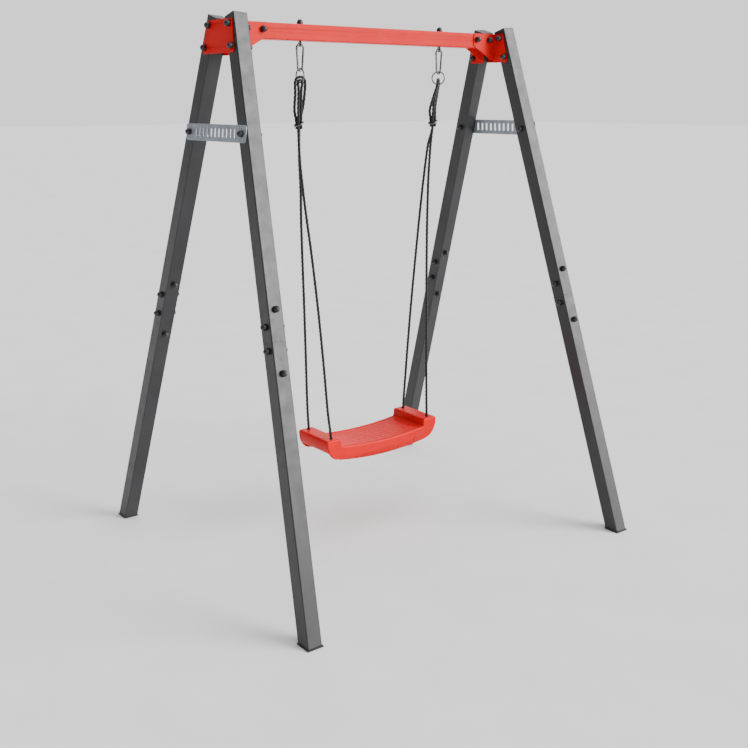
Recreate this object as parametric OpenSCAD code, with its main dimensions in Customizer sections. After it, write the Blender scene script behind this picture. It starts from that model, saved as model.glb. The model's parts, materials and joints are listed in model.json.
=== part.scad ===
// Single-seat garden swing: two A-frames, a crossbeam and a rope-hung moulded seat.
// X runs along the crossbeam, Y is the direction of swinging, Z is up from the ground.

/* [Frame] */
// Height of the leg tops above the ground
frame_h = 1768; // [1500:1:2200]
// Outside width across the two A-frames, measured at the leg tops
frame_w = 1175.2; // [1000:5:1600]
// Side of the square tube used for the legs and the crossbeam
tube = 50; // [45:1:60]
// Wall of the square tube
tube_wall = 2; // [1.5:0.25:3]
// Lean of each leg from the middle plane of its A-frame, in degrees
leg_lean = 16.775; // [12:0.5:20]
// Outward tilt of each A-frame, in degrees
splay = 3.797; // [0:0.25:6]
// Outer corner radius of the square tube
tube_round = 3; // [1:0.5:4]

/* [Crossbeam] */
// Drop from the leg tops to the top of the crossbeam
beam_drop = 23; // [20:1:40]
// Distance between the two hanging points
hang_pitch = 594; // [500:2:640]

/* [Plates] */
// Thickness of the sheet steel plates and brackets
sheet = 3; // [2:0.5:4]
// Drop from the leg tops to the upper edge of a corner plate
plate_top_drop = 20; // [18:1:30]
// Height of a corner plate
plate_h = 99; // [90:1:140]
// Margin between the upper corner of a corner plate and the outer edge of its leg
plate_inset = 7; // [4:1:10]
// Margin between the lower corner of a corner plate and the outer edge of its leg
plate_inset_low = 17; // [10:1:20]
// Length of a bracket's flange along the crossbeam
flange_l = 100; // [97:1:160]
// Drop from the leg tops to the middle of the cross plate
cross_drop = 353; // [250:1:500]
// Height of the cross plate
cross_h = 52; // [40:1:80]
// Length of the cross plate beyond its two bolts, at each end
cross_over = 22; // [15:1:40]
// Number of decorative slots in the cross plate
slot_count = 11; // [3:1:11]

/* [Leg splice] */
// Distance from the leg tops down to the joint between upper and lower leg
seam_drop = 940; // [700:5:1100]
// Length of the sleeve inside the splice
sleeve_l = 240; // [200:5:320]
// Distance of the upper side bolt above the seam
splice_side_up = 45; // [24:1:55]
// Distance of the lower side bolt below the seam
splice_side_down = 25; // [24:1:55]
// Distance of each face bolt from the seam
splice_face = 93; // [80:1:100]

/* [Fasteners] */
// Bolt diameter
bolt_d = 8; // [6:1:10]
// Diameter of a dome cap over a bolt head or nut
cap_d = 20; // [18:1:24]
// Height of a dome cap
cap_h = 16.5; // [13:0.5:18]

/* [Hanging hardware] */
// Wire diameter of the hanging eye
eye_wire = 5.2; // [4:0.2:6]
// Clear hole of the hanging eye
eye_hole = 8; // [7.8:0.2:12]
// Overall length of a snap hook
hook_l = 88; // [80:1:100]
// Wire diameter of a snap hook
hook_wire = 7; // [6:0.5:7]
// Width of a snap hook at its wide end
hook_wide = 33; // [30:1:40]
// Width of a snap hook at its narrow end
hook_narrow = 24; // [22:0.5:25]
// Outer diameter of the ring below a snap hook
ring_d = 48; // [44:1:52]
// Wire diameter of the rings
ring_wire = 4.6; // [4:0.2:5]
// Outer diameter of the ring that gathers the rope strands
gather_d = 36.5; // [35:0.5:40]
// Angle that the right hanging ring is turned by, in degrees
right_ring_turn = 38; // [0:2:40]

/* [Rope] */
// Rope diameter
rope_d = 9.5; // [8:0.1:9.7]

/* [Seat] */
// Height of the seat's shoulders above the ground
seat_z = 381; // [381:1:382]
// Length of the seat
seat_l = 498; // [480:2:520]
// Depth of the seat, front to back
seat_d = 171; // [160:1:190]
// Wall of the moulded seat
seat_wall = 4; // [3:0.5:5]
// Rise of a shoulder above the end of the pan
shoulder_h = 28; // [20:1:36]
// Length of a flat shoulder
shoulder_l = 62; // [56:1:70]
// Sag of the pan between the shoulders
pan_sag = 12; // [6:1:18]
// Depth of the seat's skirt at its middle, below the pan
skirt_h = 50; // [40:1:56]
// Depth of the seat's end walls, below the shoulders
end_wall_h = 48; // [40:1:56]
// Number of grip grooves along the pan
groove_count = 9; // [5:1:11]

/* [Hidden] */
$fn = 48;

// Overlap of cutting shapes past the faces that they cut
cut = 1;
// Clearance between a tube and what slides inside it, at each side
slide = 0.3;
// Radial clearance of a bolt in its hole
bolt_clear = 0.25;
// Radial clearance of a bolt in its nut
thread_clear = 0.05;
// Small gap between parts that lie on each other but may turn
rest_gap = 0.2;
// Thickness of a foot's sole and the width that it stands out past the tube
sole_h = 5;
sole_over = 2;
// Depth of the plugs inside the tubes
plug_l = 30;
plug_cap = 2;
washer_d = 16;
washer_h = 1.6;
nut_flat = 13;
nut_d = nut_flat / cos(30);
nut_h = 6.8;
head_h = 5.3;
bolt_tail = 2;
cap_side = 5;
cap_mouth_d = nut_d + 2;
bolt_r = bolt_d / 2;
hole_r = bolt_r + bolt_clear;

// The origin of an A-frame lies on its middle plane, level with the tops of its legs
side_x = frame_w / 2 - tube / 2 * cos(splay);
side_z = frame_h - tube / 2 * sin(splay);
lean_t = tan(leg_lean);
// Half the level width across a leg, and half the gap between the legs at the top
leg_half = tube / 2 / cos(leg_lean);
beam_clear = 0.2;
inner_y = tube / 2 + beam_clear;
top_v = inner_y + tube / 2 * cos(leg_lean);
top_w = tube / 2 * sin(leg_lean);
// Leg centreline at the level of the A-frame's origin
centre_v = top_v - top_w * lean_t;
outer_v = centre_v + leg_half;
leg_l = ((side_z / cos(splay)) - top_w) / cos(leg_lean);

function along_leg(drop) = (drop - top_w) / cos(leg_lean);
function leg_v(drop) = centre_v + drop * lean_t;
function inner_face_x(drop) = side_x - tube / 2 * cos(splay) + (drop - tube / 2 * sin(splay)) * tan(splay);

seam_l = along_leg(seam_drop);
plate_bot_drop = plate_top_drop + plate_h;
// Distance of the plate bolts from the upper and the lower edge of a corner plate
plate_bolt_top = 15;
plate_bolt_low = 19;
plate_bolt_drops = [plate_top_drop + plate_bolt_top, plate_bot_drop - plate_bolt_low];
plate_corner = 8;
cross_corner = 10;
slot_l = 28;
slot_w = 9;
slot_pitch = 22;
// Slots stay clear of the bolts at both ends
slot_fit = 2 * (leg_v(cross_drop) - cap_d / 2) - slot_w;
slot_step = min(slot_pitch, slot_fit / slot_count);
cross_grip = tube + sheet;
plate_grip = tube + 2 * sheet;
sleeve_side = tube - 2 * tube_wall - 2 * slide;
sleeve_round = 1;
// The plug stops short of the first bolt through the leg
plug_h_top = min(plug_l, along_leg(plate_bolt_drops[0]) - plug_cap - bolt_d);
foot_x = side_x + side_z * tan(splay);
foot_y = leg_v(side_z / cos(splay));

beam_top = frame_h - beam_drop;
beam_bottom = beam_top - tube;
beam_mid = beam_top - tube / 2;
beam_end_gap = 1;
beam_l = frame_w - 2 * beam_end_gap;
// Bracket bolts through the crossbeam, measured in from the inner face of the legs
bracket_bolts_in = [26, 85];
// Rise of these bolts above the middle of the crossbeam
bracket_bolt_rise = 4;
bracket_tip_drop = plate_bot_drop - 7;
bracket_tip_l = 18;
bracket_tip_r = 4;
// Height of the lower corner of the bracket's flange above the crossbeam's underside
bracket_lip = 8;
bracket_lip_r = 6;
bracket_x = inner_face_x(beam_drop);

hang_x = hang_pitch / 2;
eye_ring_r = (eye_hole + eye_wire) / 2;
eye_out_r = eye_ring_r + eye_wire / 2;
eye_neck = 0.5;
eye_z = beam_bottom - eye_out_r - eye_neck;
// The swing turns about the middle of the eyes, where the wire of the snap hooks lies
pivot_z = eye_z;
hook_r = hook_wire / 2;
hook_sides = 12;
hook_span = hook_l - hook_wire;
wide_r = (hook_wide - hook_wire) / 2;
narrow_r = (hook_narrow - hook_wire) / 2;
hook_mid = hook_span - wide_r - narrow_r;
hook_tilt = asin((wide_r - narrow_r) / hook_mid);
hook_side = sqrt(pow(hook_mid, 2) - pow(wide_r - narrow_r, 2));
gate_from = 8;
gate_to = hook_side - 5;
gate_r = hook_r - 0.3;
gate_gap = 0.4;
// Room between the gate's foot and the wire below it, so that it can turn
gate_foot = 1.2;
gate_tang = 2.4;
gate_pin_r = 1.2;
gate_eye_h = 6;
ring_r = (ring_d - ring_wire) / 2;
ring_gap = 0.4;
ring_z = pivot_z - hook_span + hook_r + ring_wire / 2 + ring_gap - ring_r;
gather_r = (gather_d - ring_wire) / 2;
gather_tilt = 26;
gather_at = [[-303, 0, 1438], [276, 0, 1438]];

seat_hx = 219;
seat_hy = 65;
seat_hole_r = 5.8;
seat_round = 9;
seat_edge = 5;
seat_end_r = 52;
seat_end_drop = 11;
knot_d = 22;
knot_h = 18;
knot_bore_r = 5;
groove_w = 4;
groove_deep = 1.6;
groove_margin = 18;
groove_pitch = (seat_d - 2 * groove_margin) / (groove_count - 1);
pan_steps = 8;
corner_steps = 3;
pan_half = seat_l / 2 - shoulder_l;
pan_end = -shoulder_h;
pan_mid = -shoulder_h - pan_sag;
skirt_mid = pan_mid - skirt_h;
skirt_rise = 16;
skirt_end = skirt_mid + skirt_rise;
// Half lengths of the skirt's lower edge and of the grooves
skirt_half = seat_l / 2 - seat_end_r;
skirt_over = 2;
groove_half_l = pan_half - 22;

// Rope routes, from the tied end over the hanging ring and down through the seat
rope_fl = [[-297.8, -5.2, 1422], [-297.8, -5.2, 1438], [-297.3, -5.2, 1455], [-296.3, -4, 1475],
    [-294.9, -1.4, 1500], [-292.3, 0, 1545], [-288.6, 0, 1567], [-289.7, 0, 1570.6],
    [-292.8, 0, 1573.6], [-297, 0, 1574.6], [-301.2, 0, 1573.6], [-304.3, 0, 1570.6],
    [-305.4, 0, 1567], [-303, 0, 1545], [-305.1, -1.4, 1500], [-306.7, -4, 1475],
    [-307.7, -5.2, 1455], [-308.2, -5.2, 1438], [-308.5, -5.4, 1420], [-307, -11, 1325],
    [-300, -18, 1229], [-290, -24.5, 1132], [-278, -31, 1033], [-257, -42, 832],
    [-240, -53, 625], [-229, -61, 468], [-220, -65, 392], [-219, -65, 376], [-219, -65, 352]];
rope_rl = [[-308.2, 5.2, 1422], [-308.2, 5.2, 1438], [-309.9, 5.6, 1455], [-315.8, 4.6, 1475],
    [-317.1, 2.4, 1500], [-316, 0, 1530], [-316.5, 0, 1567], [-313.9, 0, 1576],
    [-306.8, 0, 1582.6], [-297, 0, 1585], [-287.2, 0, 1582.6], [-280.1, 0, 1576],
    [-277.5, 0, 1567], [-280, 0, 1530], [-282.9, 2.4, 1500], [-287.2, 4.6, 1475],
    [-296, 5.6, 1455], [-297.8, 5.2, 1438], [-297.5, 5.6, 1420], [-293, 12, 1325],
    [-283.5, 18.5, 1229], [-277.5, 25, 1132], [-270, 31, 1033], [-254, 42, 832],
    [-239, 53, 625], [-228, 61, 468], [-220, 65, 392], [-219, 65, 376], [-219, 65, 352]];
rope_fr = [[281.2, -5.2, 1422], [281.2, -5.2, 1438], [281.2, -5.2, 1455], [282.8, -3.1, 1475],
    [285.3, 0.5, 1500], [293.9, 3.1, 1545], [303.4, 5.4, 1567], [302.6, 4.7, 1570.6],
    [300.2, 2.7, 1573.6], [297, 0, 1574.6], [293.8, -2.7, 1573.6], [291.4, -4.7, 1570.6],
    [290.6, -5.4, 1567], [285.1, -3.1, 1545], [275.3, -3, 1500], [272.4, -4.9, 1475],
    [270.8, -5.2, 1455], [270.8, -5.2, 1438], [270, -5.4, 1420], [259, -10, 1359],
    [252, -13.5, 1307], [246, -17, 1255], [238, -24, 1150], [231, -33, 990],
    [224, -47.5, 720], [220, -61, 460], [219, -65, 392], [219, -65, 376], [219, -65, 352]];
rope_rr = [[270.8, 5.2, 1422], [270.8, 5.2, 1438], [269, 5.6, 1455], [262.1, 2.1, 1475],
    [263.1, -3.6, 1500], [270.4, -9, 1530], [282.1, -12.5, 1567], [284.1, -10.9, 1576],
    [289.5, -6.3, 1582.6], [297, 0, 1585], [304.5, 6.3, 1582.6], [309.9, 10.9, 1576],
    [311.9, 12.5, 1567], [301.6, 9, 1530], [295.3, 8.1, 1500], [290.2, 7, 1475],
    [283, 5.6, 1455], [281.2, 5.2, 1438], [281, 5.6, 1420], [265, 10, 1359],
    [259.5, 13.5, 1307], [255.5, 17, 1255], [249, 24, 1150], [240, 33.5, 985],
    [229, 46, 755], [222, 58.5, 520], [219, 65, 392], [219, 65, 376], [219, 65, 352]];
rope_sides = 8;

// Rounds the corners of a closed outline; each corner has its own radius
function unit(v) = v / norm(v);
function corner_arc(a, p, b, r, steps) =
    let (u = unit(a - p), v = unit(b - p))
    let (half = acos(max(-1, min(1, u * v))) / 2)
    let (c = p + unit(u + v) * r / sin(half))
    let (d = r / tan(half), s = p + u * d - c, e = p + v * d - c)
    let (a0 = atan2(s[1], s[0]), a1 = atan2(e[1], e[0]))
    let (turn = a1 - a0 > 180 ? a1 - a0 - 360 : a1 - a0 < -180 ? a1 - a0 + 360 : a1 - a0)
    [for (i = [0:steps]) c + r * [cos(a0 + turn * i / steps), sin(a0 + turn * i / steps)]];
function rounded(pts, radii, steps = 5) = [for (i = [0:len(pts) - 1])
    let (n = len(pts), a = pts[(i + n - 1) % n], b = pts[(i + 1) % n])
    each radii[i] > 0 ? corner_arc(a, pts[i], b, radii[i], steps) : [pts[i]]];

// Places one front right piece in the named quadrant
module quadrant(rear, left) {
    mirror([left, 0, 0]) mirror([0, rear, 0]) children();
}
module each_side() {
    for (left = [0, 1]) mirror([left, 0, 0]) children();
}
module each_quadrant() {
    for (left = [0, 1], rear = [0, 1]) quadrant(rear, left) children();
}
// X points out of the A-frame, Y to the rear and Z up its middle plane
module in_side() {
    translate([side_x, 0, side_z]) rotate([0, -splay, 0]) children();
}
// Z points up along the front leg, from the middle of its top end
module in_leg() {
    in_side() translate([0, -top_v, -top_w]) rotate([-leg_lean, 0, 0]) children();
}
// Turns the Z axis of the children to the X or Y axis
module toward_x() {
    rotate([0, 90, 0]) children();
}
module toward_front() {
    rotate([90, 0, 0]) children();
}

module square_bar(side, length, round) {
    translate([0, 0, -length]) linear_extrude(length)
        polygon(rounded([[-side / 2, -side / 2], [side / 2, -side / 2], [side / 2, side / 2],
            [-side / 2, side / 2]], [round, round, round, round], 3));
}
module square_tube(side, wall, length, round) {
    difference() {
        square_bar(side, length, round);
        translate([0, 0, cut]) square_bar(side - 2 * wall, length + 2 * cut, max(round - wall, 0.5));
    }
}

// Every place where a bolt goes through the frame, with the grip of the bolt there
module at_plate_bolts() {
    for (drop = plate_bolt_drops) in_side() translate([0, -leg_v(drop), -drop]) toward_x() children();
}
module at_cross_bolts() {
    in_side() translate([sheet / 2, -leg_v(cross_drop), -cross_drop]) toward_x() children();
}
module at_side_bolts() {
    for (up = [splice_side_up, -splice_side_down])
        in_leg() translate([0, 0, up - seam_l]) toward_x() children();
}
module at_face_bolts() {
    for (up = [splice_face, -splice_face])
        in_leg() translate([0, 0, up - seam_l]) toward_front() children();
}
module at_bracket_bolts() {
    for (step = bracket_bolts_in) translate([bracket_x - step, 0, beam_mid + bracket_bolt_rise])
        toward_front() children();
}
module everywhere() {
    each_quadrant() {
        at_plate_bolts() let ($grip = plate_grip) children();
        at_cross_bolts() let ($grip = cross_grip) children();
        at_side_bolts() let ($grip = tube) children();
        at_face_bolts() let ($grip = tube) children();
    }
    each_side() at_bracket_bolts() let ($grip = plate_grip) children();
}
module drill(length) {
    cylinder(h = length, r = hole_r, center = true);
}
module bolt(grip) {
    tail = grip / 2 + washer_h + nut_h + bolt_tail;
    translate([0, 0, -tail]) cylinder(h = tail + grip / 2 + washer_h + head_h / 2, r = bolt_r);
    translate([0, 0, grip / 2 + washer_h]) cylinder(h = head_h, d = nut_d, $fn = 6);
}
module nut() {
    difference() {
        cylinder(h = nut_h, d = nut_d, $fn = 6);
        translate([0, 0, -cut]) cylinder(h = nut_h + 2 * cut, r = bolt_r + thread_clear);
    }
}
module washer() {
    difference() {
        cylinder(h = washer_h, d = washer_d);
        translate([0, 0, -cut]) cylinder(h = washer_h + 2 * cut, r = hole_r);
    }
}
// Hollow dome, its open face on Z = 0
module dome_cap() {
    dome = cap_h - cap_side;
    pocket_h = washer_h + nut_h + bolt_tail + rest_gap;
    rotate_extrude() difference() {
        polygon(concat([[0, 0], [cap_d / 2, 0]], [for (a = [0:15:75])
            [cap_d / 2 * cos(a), cap_side + dome * sin(a)]], [[0, cap_h]]));
        square([cap_mouth_d / 2 + slide, washer_h + nut_h + rest_gap]);
        square([bolt_r + 2 * slide, pocket_h + rest_gap]);
    }
}

module leg_holes() {
    at_plate_bolts() drill(tube + 2 * cut);
    at_cross_bolts() drill(tube + 2 * sheet + 2 * cut);
    at_side_bolts() drill(tube + 2 * cut);
    at_face_bolts() drill(tube + 2 * cut);
}
module upper_leg() {
    color("#3a3b3e") difference() {
        in_leg() translate([0, 0, -plug_cap])
            square_tube(tube, tube_wall, seam_l - plug_cap, tube_round);
        leg_holes();
    }
}
module lower_leg() {
    color("#3a3b3e") difference() {
        in_leg() translate([0, 0, -seam_l - rest_gap])
            square_tube(tube, tube_wall, leg_l - seam_l + tube, tube_round);
        leg_holes();
        translate([0, -frame_h, sole_h - frame_h]) cube([frame_w, frame_h, frame_h]);
    }
}
module leg_sleeve() {
    difference() {
        in_leg() translate([0, 0, -seam_l + sleeve_l / 2])
            square_tube(sleeve_side, tube_wall, sleeve_l, sleeve_round);
        at_side_bolts() drill(tube + 2 * cut);
        at_face_bolts() drill(tube + 2 * cut);
    }
}
module leg_sleeves() {
    color("#8a8c90") each_quadrant() leg_sleeve();
}
module leg_top_plugs() {
    color("#1a1a1b") each_quadrant() in_leg() {
        square_bar(tube, plug_cap, tube_round);
        translate([0, 0, -plug_cap + slide])
            square_bar(sleeve_side, plug_h_top, sleeve_round);
    }
}
module foot() {
    color("#1a1a1b") {
        translate([foot_x, -foot_y, sole_h / 2])
            cube([tube / cos(splay) + 2 * sole_over, 2 * leg_half + 2 * sole_over, sole_h], center = true);
        difference() {
            in_leg() translate([0, 0, plug_l - leg_l]) square_bar(sleeve_side, plug_l + tube, sleeve_round);
            translate([0, -frame_h, sole_h / 2 - frame_h]) cube([frame_w, frame_h, frame_h]);
        }
    }
}

module beam() {
    color("#e0362c") difference() {
        translate([-beam_l / 2, 0, beam_mid]) rotate([0, -90, 0])
            square_tube(tube, tube_wall, beam_l, tube_round);
        each_side() at_bracket_bolts() drill(tube + 2 * cut);
        each_side() translate([hang_x, 0, beam_mid]) drill(tube + 2 * cut);
    }
}

// Outline of a corner plate, its width following the legs
function plate_half(drop, inset) = outer_v + drop * lean_t - inset;
module plate_outline(half) {
    top = plate_half(plate_top_drop, plate_inset);
    bot = plate_half(plate_bot_drop, plate_inset_low);
    c = plate_corner;
    polygon(half
        ? rounded([[-inner_y, -plate_top_drop], [-top, -plate_top_drop], [-bot, -plate_bot_drop],
            [-inner_y, -plate_bot_drop]], [0, c, c, 0])
        : rounded([[top, -plate_top_drop], [-top, -plate_top_drop], [-bot, -plate_bot_drop],
            [bot, -plate_bot_drop]], [c, c, c, c]));
}
// Stands an outline drawn in Y and Z upright, its thickness running outwards from x
module upright(x, thick) {
    translate([x, 0, 0]) rotate([90, 0, 90]) linear_extrude(thick) children();
}
module corner_plate() {
    color("#9e1b18") difference() {
        in_side() upright(tube / 2, sheet) plate_outline(false);
        for (rear = [0, 1]) mirror([0, rear, 0]) at_plate_bolts() drill(tube + 4 * sheet);
    }
}
module cross_plate() {
    half = leg_v(cross_drop) + cross_over;
    c = cross_corner;
    color("#8d979f") difference() {
        in_side() difference() {
            upright(tube / 2, sheet) translate([0, -cross_drop])
                polygon(rounded([[-half, -cross_h / 2], [half, -cross_h / 2], [half, cross_h / 2],
                    [-half, cross_h / 2]], [c, c, c, c]));
            for (i = [0:slot_count - 1])
                translate([tube / 2, (i - (slot_count - 1) / 2) * slot_step, -cross_drop]) slot_cut();
        }
        for (rear = [0, 1]) mirror([0, rear, 0]) at_cross_bolts() drill(tube + 4 * sheet);
    }
}
module slot_cut() {
    for (s = [-1, 1]) translate([sheet / 2, 0, s * (slot_l - slot_w) / 2])
        toward_x() cylinder(h = sheet + 2 * cut, d = slot_w, center = true);
    translate([sheet / 2, 0, 0]) cube([sheet + 2 * cut, slot_w, slot_l - slot_w], center = true);
}

// Bent sheet bracket: one flange on the crossbeam, one on the inner face of the leg
module bracket() {
    root_x = bracket_x - sheet / 2;
    tip_x = inner_face_x(bracket_tip_drop) - sheet / 2;
    end_x = bracket_x - flange_l;
    color("#e0362c") difference() {
        union() {
            translate([0, -tube / 2, frame_h]) rotate([90, 0, 0]) linear_extrude(sheet)
                polygon(rounded([[end_x, -beam_drop], [root_x, -beam_drop],
                    [tip_x, -bracket_tip_drop], [tip_x - bracket_tip_l, -bracket_tip_drop],
                    [end_x, bracket_lip - beam_drop - tube]], [0, 0, 0, bracket_tip_r, bracket_lip_r]));
            in_side() upright(-tube / 2 - sheet, sheet) plate_outline(true);
        }
        at_plate_bolts() drill(tube + 4 * sheet);
        at_bracket_bolts() drill(tube + 4 * sheet);
    }
}

module plate_bolts() {
    color("#55575b") each_quadrant() at_plate_bolts() bolt(plate_grip);
}
module bracket_bolts() {
    color("#55575b") each_side() at_bracket_bolts() bolt(plate_grip);
}
module cross_plate_bolts() {
    color("#55575b") each_quadrant() at_cross_bolts() bolt(cross_grip);
}
module splice_side_bolts() {
    color("#55575b") each_quadrant() at_side_bolts() bolt(tube);
}
module splice_face_bolts() {
    color("#55575b") each_quadrant() at_face_bolts() bolt(tube);
}
module hex_nuts() {
    color("#8f9296") everywhere() mirror([0, 0, 1]) translate([0, 0, $grip / 2 + washer_h]) nut();
}
module washers() {
    color("#a5a8ab") everywhere() for (m = [0, 1])
        mirror([0, 0, m]) translate([0, 0, $grip / 2]) washer();
}
module cap_pair(grip) {
    color("#161617") for (m = [0, 1]) mirror([0, 0, m]) translate([0, 0, grip / 2]) dome_cap();
}
module plate_bolt_caps() {
    each_quadrant() at_plate_bolts() cap_pair(plate_grip);
}
module bracket_bolt_caps() {
    each_side() at_bracket_bolts() cap_pair(plate_grip);
}
module cross_bolt_caps() {
    each_quadrant() at_cross_bolts() cap_pair(cross_grip);
}
module side_bolt_caps() {
    each_quadrant() at_side_bolts() cap_pair(tube);
}
module face_bolt_caps() {
    each_quadrant() at_face_bolts() cap_pair(tube);
}

// Hanging eye: a ring below the crossbeam on a threaded stem
module eye_bolt() {
    stem_top = beam_top + washer_h + nut_h + bolt_tail;
    color("#9a9da1") translate([hang_x, 0, 0]) {
        translate([0, 0, eye_z]) rotate([0, 90, 0]) rotate_extrude() translate([eye_ring_r, 0])
            circle(d = eye_wire);
        translate([0, 0, eye_z + eye_ring_r]) cylinder(h = stem_top - eye_z - eye_ring_r, r = bolt_r);
    }
}
module on_beam_top() {
    each_side() translate([hang_x, 0, beam_top]) children();
}
module eye_bolt_washers() {
    color("#a5a8ab") on_beam_top() washer();
}
module eye_bolt_nuts() {
    color("#8f9296") on_beam_top() translate([0, 0, washer_h]) nut();
}
module eye_bolt_caps() {
    color("#161617") on_beam_top() dome_cap();
}

// Snap hook in the XZ plane, its wide end up, from the pivot at the origin downwards
function hook_arc(level, r, from, to, steps) = [for (i = [0:steps])
    let (a = from + (to - from) * i / steps) [r * cos(a), 0, level + r * sin(a)]];
function hook_route() =
    let (wide = hook_arc(-wide_r, wide_r, 180 + hook_tilt, -hook_tilt, 14),
        narrow = hook_arc(-wide_r - hook_mid, narrow_r, -hook_tilt, hook_tilt - 180, 10),
        down = [sin(hook_tilt), 0, -cos(hook_tilt)])
    concat([wide[0] + gate_from * down], wide, narrow, [wide[0] + gate_to * down]);
// Z runs down one long side from its upper end, on the side where X is positive
module along_hook_side() {
    translate([wide_r * cos(hook_tilt), 0, -wide_r - wide_r * sin(hook_tilt)])
        rotate([0, 180 + hook_tilt, 0]) children();
}
module snap_hook() {
    difference() {
        union() {
            swept(hook_route(), hook_r, hook_sides);
            mirror([1, 0, 0]) along_hook_side() translate([0, 0, gate_to - gate_eye_h - cut]) hinge_lug();
        }
        mirror([1, 0, 0]) along_hook_side() translate([0, 0, gate_to - gate_eye_h / 2])
            toward_front() cylinder(h = 4 * hook_r, r = gate_pin_r + thread_clear, center = true);
    }
}
// Flat tongue that the gate's fork turns on
module hinge_lug() {
    translate([-hook_r, -gate_tang / 2, 0]) cube([2 * hook_r, gate_tang, gate_eye_h + 2 * cut]);
}
module hook_gate() {
    open = gate_tang / 2 + gate_gap;
    mirror([1, 0, 0]) along_hook_side() difference() {
        translate([0, 0, gate_from + gate_gap])
            cylinder(h = gate_to - gate_from - gate_gap - gate_foot, r = gate_r);
        translate([-2 * hook_r, -open, gate_to - gate_eye_h - 3 * cut])
            cube([4 * hook_r, 2 * open, tube]);
        translate([0, 0, gate_to - gate_eye_h / 2]) toward_front()
            cylinder(h = 4 * hook_r, r = gate_pin_r + thread_clear, center = true);
    }
}
module gate_pin() {
    mirror([1, 0, 0]) along_hook_side() translate([0, 0, gate_to - gate_eye_h / 2])
        toward_front() cylinder(h = 2 * hook_r, r = gate_pin_r, center = true);
}
module at_pivot(side) {
    translate([side * hang_x, 0, pivot_z]) children();
}
module ring(r, wire) {
    rotate([0, 90, 0]) rotate_extrude() translate([r, 0]) circle(d = wire);
}
module hanging_ring(side, turn) {
    color("#b9bcbf") translate([side * hang_x, 0, ring_z]) rotate([0, 0, turn]) ring(ring_r, ring_wire);
}
module gather_ring(at) {
    color("#b9bcbf") translate(at) rotate([0, -gather_tilt, 0]) rotate_extrude()
        translate([gather_r, 0]) circle(d = ring_wire);
}

// Tube swept along a route, with one ring of points square to it at each route point
function way(p, i) = unit((i < len(p) - 1 ? unit(p[i + 1] - p[i]) : [0, 0, 0])
    + (i > 0 ? unit(p[i] - p[i - 1]) : [0, 0, 0]));
function carry(p, i, n) = unit(n - way(p, i) * (way(p, i) * n));
function normals(p, i, n) = i == len(p) ? []
    : concat([n], normals(p, i + 1, carry(p, min(i + 1, len(p) - 1), n)));
module swept(route, r, sides) {
    side_n = normals(route, 0, carry(route, 0, [0, 1, 0]));
    last = len(route) - 1;
    points = [for (i = [0:last]) let (t = way(route, i), n = side_n[i], b = cross(t, n))
        for (k = [0:sides - 1]) let (a = 360 * (k + 0.5) / sides)
            route[i] + r * (cos(a) * n + sin(a) * b)];
    walls = [for (i = [0:last - 1]) for (k = [0:sides - 1]) let (m = (k + 1) % sides)
        each [[i * sides + k, (i + 1) * sides + m, i * sides + m],
            [i * sides + k, (i + 1) * sides + k, (i + 1) * sides + m]]];
    ends = [[for (k = [0:sides - 1]) k], [for (k = [0:sides - 1]) last * sides + sides - 1 - k]];
    polyhedron(points, concat(walls, ends));
}
module rope(route) {
    color("#17181a") swept(route, rope_d / 2, rope_sides);
}

// Half outline of the seat seen from the front, from the middle of the pan outwards
function arc_z(x, half, mid, end) = mid + (end - mid) * pow(x / half, 2);
function pan_line(lift) = [for (i = [0:pan_steps - 1]) let (x = (pan_half - seat_round) * i / pan_steps)
    [x, arc_z(x, pan_half, pan_mid, pan_end) + lift]];
function skirt_line() = [for (i = [pan_steps:-1:0]) let (x = (skirt_half + skirt_over) * i / pan_steps)
    [x, arc_z(x, skirt_half, skirt_mid, skirt_end)]];
// From the pan up the riser and over the shoulder, set in by the wall for the inside
function shoulder_line(inset) =
    let (foot = [pan_half + inset, pan_end - inset], crown = [pan_half + inset, -inset],
        rim = [seat_l / 2 - inset, -inset], edge = max(seat_edge - inset, 1))
    concat(corner_arc([0, foot[1]], foot, crown, seat_round + inset, corner_steps),
        corner_arc(foot, crown, rim, edge, corner_steps),
        corner_arc(crown, rim, [rim[0], -seat_l], edge, corner_steps));
function end_arc(inset) = [for (a = [0:-10:-80])
    [skirt_half + (seat_end_r - inset) * cos(a), (seat_end_r - inset) * sin(a) - seat_end_drop]];
function seat_half() = concat(pan_line(0), shoulder_line(0), end_arc(0), skirt_line());
function hollow_half() = concat(pan_line(-seat_wall), shoulder_line(seat_wall), end_arc(seat_wall),
    [[skirt_half, skirt_mid - cut], [0, skirt_mid - cut]]);
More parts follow.
